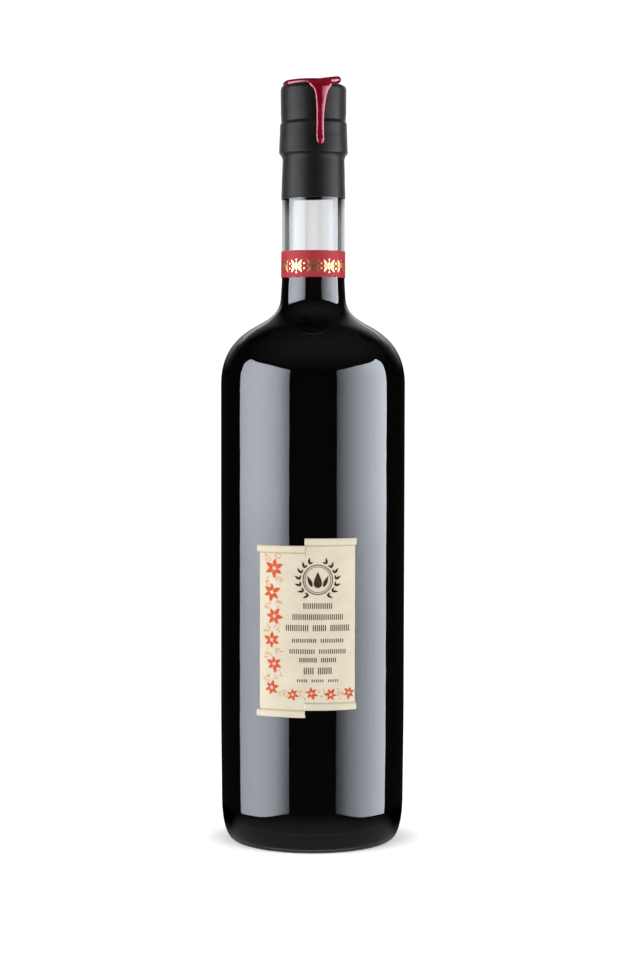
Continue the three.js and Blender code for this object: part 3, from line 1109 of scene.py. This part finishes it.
# Height of each row, half its width, the height of its dashes, and its number of groups
rows = [
    (109.2, 6.5, 2.5, 1),
    (104.4, 11.3, 2.5, 1),
    (99.6, 14.2, 2.7, 3),
    (94.1, 11.5, 1.7, 2),
    (89.4, 12.6, 2.0, 2),
    (85.7, 8.2, 2.0, 2),
    (81.0, 6.3, 3.0, 2),
    (76.7, 9.2, 1.2, 3),
]
dashes = []
for row in rows:
    dashes += hatch(*row)
dark_ink = ink("dark_ink", (0.024, 0.015, 0.008), (0.045, 0.028, 0.016))
label_print("label_rows", dashes, dark_ink)
emblem = medallion(PRINT_MIDDLE, MEDALLION_HEIGHT, MEDALLION_RADIUS)
label_print("label_medallion", emblem, dark_ink)


# Studio: pale floor, softboxes that only gloss sees, soft lights and a white surround


WARM_WHITE = (1.0, 0.98, 0.95)
SOFTBOX_WHITE = (0.945, 1.0, 1.1)
SOFTBOX_DISTANCE = 600
BACKDROP_DISTANCE = 900
EDGE_LIGHT_DISTANCE = 150


def between(values, place):
    """Reads an evenly spaced list at a place from 0 to 1."""
    spot = min(max(place, 0), 1) * (len(values) - 1)
    index = min(int(spot), len(values) - 2)
    part = spot - index
    return values[index] * (1 - part) + values[index + 1] * part


def glowing(name, vertices, faces, glow, colour):
    """A surface that only gloss sees, with a brightness at each vertex."""
    mesh = bpy.data.meshes.new(name)
    mesh.from_pydata([Vector(v) * MM for v in vertices], [], faces)
    mesh.attributes.new("glow", "FLOAT", "POINT").data.foreach_set("value", glow)
    made = bpy.data.materials.new(name + "_light")
    made.use_nodes = True
    tree = made.node_tree
    tree.nodes.clear()
    level = node(tree, "ShaderNodeAttribute", attribute_name="glow").outputs["Fac"]
    lamp = node(tree, "ShaderNodeEmission", {"Color": (*colour, 1), "Strength": level})
    out = node(tree, "ShaderNodeOutputMaterial")
    tree.links.new(lamp.outputs[0], out.inputs["Surface"])
    obj = placed(name, mesh, made)
    obj.visible_camera = False
    obj.visible_diffuse = False
    obj.visible_transmission = False
    obj.visible_volume_scatter = False
    obj.visible_shadow = False


def curved_light(name, start, end, distance, column, colour):
    """A light bent round the bottle from one angle to another.

    column(place) lists its (height, strength) pairs at a place from 0 to 1 along it.
    """
    steps = 48
    vertices = []
    faces = []
    glow = []
    for k in range(steps + 1):
        for height, strength in column(k / steps):
            vertices.append(around(start + (end - start) * k / steps, distance, height))
            glow.append(strength)
    rows = len(vertices) // (steps + 1)
    for k in range(steps):
        for row in range(rows - 1):
            low_left = k * rows + row
            faces.append((low_left, low_left + rows, low_left + rows + 1, low_left + 1))
    glowing(name, vertices, faces, glow, colour)


def softbox(name, start, end, tops, strengths):
    """A tall softbox with an arched top, a little weaker towards its foot."""

    def column(place):
        strength = between(strengths, place)
        low = strength * (0.72 + 0.28 * smoothstep(0, 0.3, place))
        levels = [(-320, 0.78 * low), (-100, 0.78 * low), (35, 0.81 * strength)]
        levels += [(90, 0.88 * strength), (125, strength), (between(tops, place), strength)]
        return levels

    curved_light(name, start, end, SOFTBOX_DISTANCE, column, SOFTBOX_WHITE)


LEFT_GLOW = [3.0, 5.8, 8.0, 9.0, 9.6, 9.8, 9.35, 8.35, 7.1, 6.0]
RIGHT_GLOW = [1.3, 2.75, 4.45, 5.8, 7.25, 8.3, 9.1, 9.7, 9.75, 9.6]
LEFT_TOPS = [412, 428, 445, 462, 476, 486, 491, 499, 512, 527, 425]
RIGHT_TOPS = [400, 418, 437, 452, 464, 473, 480, 488, 502, 526, 425]
softbox("softbox_left", -28.0, -99.6, LEFT_TOPS, LEFT_GLOW)
softbox("softbox_right", 29.0, 101.5, RIGHT_TOPS, RIGHT_GLOW)


def backdrop(name, side, levels):
    """The dim wall behind the bottle, which its shoulders mirror at their edges."""
    heights = [285, 320, 420, 500, 570, 703, 810, 1007, 1225]

    def column(place):
        across = between([0.05, 0.12, 0.6, 1, 1, 1], place)
        return [(height, across * level) for height, level in zip(heights, levels)]

    curved_light(name, side * 130, side * 180, BACKDROP_DISTANCE, column, WARM_WHITE)


backdrop("backdrop_left", -1, [0, 0.1, 0.4, 0.5, 0.42, 0.27, 0.16, 0.05, 0.02])
backdrop("backdrop_right", 1, [0, 0.1, 0.45, 0.7, 0.75, 0.7, 0.45, 0.15, 0.04])


def edge_light(name, side):
    """A near strip that whitens the outermost edges of the neck."""

    def column(place):
        strength = between([0, 0.7, 1, 1, 0.5], place)
        return [(270, 0), (274, strength), (296, strength), (304, 0)]

    curved_light(name, side * 132, side * 172, EDGE_LIGHT_DISTANCE, column, WARM_WHITE)


edge_light("edge_light_left", -1)
edge_light("edge_light_right", 1)


def table_glow():
    """What the foot of the glass mirrors: the pale table, dimmer outwards and dark behind.

    Each ring has a radius and a strength, straight in front and at both sides.
    """
    front = [(0, 0.26), (58, 0.26), (75, 0.22), (95, 0.12), (120, 0.02)]
    beside = [(0, 0.28), (58, 0.28), (75, 0.18), (92, 0.06), (93.5, 0)]
    height = -0.6
    sides = 96
    vertices = [(0, 0, height)]
    glow = [front[0][1]]
    for near, far in zip(front[1:], beside[1:]):
        for k in range(sides):
            turn = 2 * math.pi * k / sides
            share = smoothstep(0.4, 0.85, abs(math.sin(turn)))
            behind = smoothstep(-0.35, 0.1, -math.cos(turn))
            radius, strength = (a * (1 - share) + b * share for a, b in zip(near, far))
            vertices.append(around(360 * k / sides, radius, height))
            glow.append(strength * (1 - behind))
    faces = [(0, k + 1, (k + 1) % sides + 1) for k in range(sides)]
    for j in range(len(front) - 2):
        low = 1 + j * sides
        for k in range(sides):
            after = (k + 1) % sides
            faces.append((low + k, low + after, low + sides + after, low + sides + k))
    glowing("table_glow", vertices, faces, glow, (1, 0.98, 0.96))


table_glow()


def floor():
    """A pale matt floor that glows faintly, with a painted contact shadow: the glow is weaker round
    the bottle.
    """
    inputs = {
        "Roughness": 0.9,
        "Specular IOR Level": 0.0,
        "Emission Color": (1, 1, 1, 1),
    }
    made, tree, shader = principled("pale_floor", inputs)
    paint(tree, shader, grain(tree, 6), (0.8, 0.8, 0.8), (0.82, 0.82, 0.82))
    where = node(tree, "ShaderNodeTexCoord").outputs["Object"]
    where = node(tree, "ShaderNodeMapping", {"Vector": where, "Scale": (1, 1.3, 1)}).outputs[0]
    away = node(tree, "ShaderNodeVectorMath", {0: where}, operation="LENGTH").outputs["Value"]
    # Painted contact shadow: less glow within about 53 mm of the axis, reaching less far in front
    # and behind
    glow = spread(tree, away, 0.25, 0.55, 0.04, 0.053)
    tree.links.new(glow, shader.inputs["Emission Strength"])
    half = 4000
    corners = [(-half, -half, 0), (half, -half, 0), (half, half, 0), (-half, half, 0)]
    obj = mesh_object("floor", corners, [(0, 1, 2, 3)], made)
    obj.visible_glossy = False
    obj.visible_transmission = False


floor()


def side_light(name, side, power):
    """A soft light beside the bottle and a little in front of it, which gloss doesn't see."""
    lamp = bpy.data.lights.new(name, "AREA")
    lamp.shape = "RECTANGLE"
    lamp.size = 0.7
    lamp.size_y = 1.0
    lamp.energy = power
    obj = bpy.data.objects.new(name, lamp)
    bpy.context.scene.collection.objects.link(obj)
    obj.location = (side * 1.2, -0.3, 0.5)
    aim = Vector((0, 0, 0.2)) - obj.location
    obj.rotation_euler = aim.to_track_quat("-Z", "Y").to_euler()
    obj.visible_glossy = False
    obj.visible_transmission = False
    obj.visible_camera = False


side_light("light_left", -1, 11)
side_light("light_right", 1, 10)


def surround():
    """White for the camera, dark for gloss, soft for diffuse light.

    Seen through glass it is bright ahead, dimmer beside that and dark further round, four times
    round the horizon, even below it, and almost black above it, where the foot's glass shows it.
    """
    world = bpy.data.worlds.new("studio")
    world.use_nodes = True
    tree = world.node_tree
    tree.nodes.clear()
    ray = node(tree, "ShaderNodeLightPath")
    where = node(tree, "ShaderNodeTexCoord").outputs["Generated"]
    parts = node(tree, "ShaderNodeSeparateXYZ", {"Vector": where})

    def math_node(operation, first, second=0.0):
        return node(tree, "ShaderNodeMath", {0: first, 1: second}, operation=operation).outputs[0]

    turn = math_node("ARCTAN2", parts.outputs["X"], parts.outputs["Y"])
    quarters = math_node("DIVIDE", turn, math.pi / 2)
    nearest = math_node("ROUND", quarters)
    away = math_node("ABSOLUTE", math_node("SUBTRACT", quarters, nearest))
    away = math_node("MULTIPLY", away, 90)
    steps = [(2, 5.5, 0.13), (5.5, 9, 0.11), (16, 20, 0.17), (20, 25, 0.22)]
    through = 0.18
    for start, end, drop in steps:
        through = math_node("ADD", through, spread(tree, away, drop, 0, start, end))
    rise = parts.outputs["Z"]

    def choose(flag, first, second):
        inputs = {"Factor": flag, "A": second, "B": first}
        return node(tree, "ShaderNodeMix", inputs, data_type="FLOAT").outputs["Result"]

    through = choose(spread(tree, rise, 1, 0, -0.14, -0.1), 0.65, through)
    through = choose(spread(tree, rise, 1, 0, -0.5, -0.42), 0.2, through)
    through = choose(spread(tree, rise, 0, 1, 0.12, 0.16), 0.006, through)
    towards = {0: where, 1: (0.25, -0.9, 0)}
    facing = node(tree, "ShaderNodeVectorMath", towards, operation="DOT_PRODUCT").outputs["Value"]
    above = spread(tree, rise, 0.15, 1, 0.3, 0.8)
    gloss = math_node("MULTIPLY", above, spread(tree, facing, 0.02, 0.16, -0.6, 0.3))
    gloss = math_node("MAXIMUM", gloss, 0.01)
    level = choose(ray.outputs["Is Glossy Ray"], gloss, 0.65)
    level = choose(ray.outputs["Is Transmission Ray"], through, level)
    level = choose(ray.outputs["Is Camera Ray"], 1.1, level)
    background = node(tree, "ShaderNodeBackground", {"Color": (1, 1, 1, 1), "Strength": level})
    out = node(tree, "ShaderNodeOutputWorld")
    tree.links.new(background.outputs[0], out.inputs["Surface"])
    bpy.context.scene.world = world


surround()


# Camera at the photograph's place

CAMERA_PLACE = (0.00323, -0.95966, 0.2071)
CAMERA_DOWN = 0.0472
CAMERA_ROLL = 0.002

camera_data = bpy.data.cameras.new("camera")
camera_data.lens = 80
camera_data.sensor_width = 36
camera_data.clip_start = 0.01
camera_data.clip_end = 50
camera = bpy.data.objects.new("camera", camera_data)
bpy.context.scene.collection.objects.link(camera)
pitch = Matrix.Rotation(math.pi / 2 - CAMERA_DOWN, 4, "X")
roll = Matrix.Rotation(CAMERA_ROLL, 4, "Z")
camera.matrix_world = Matrix.Translation(CAMERA_PLACE) @ pitch @ roll
bpy.context.scene.camera = camera
bpy.context.scene.view_settings.view_transform = "Standard"
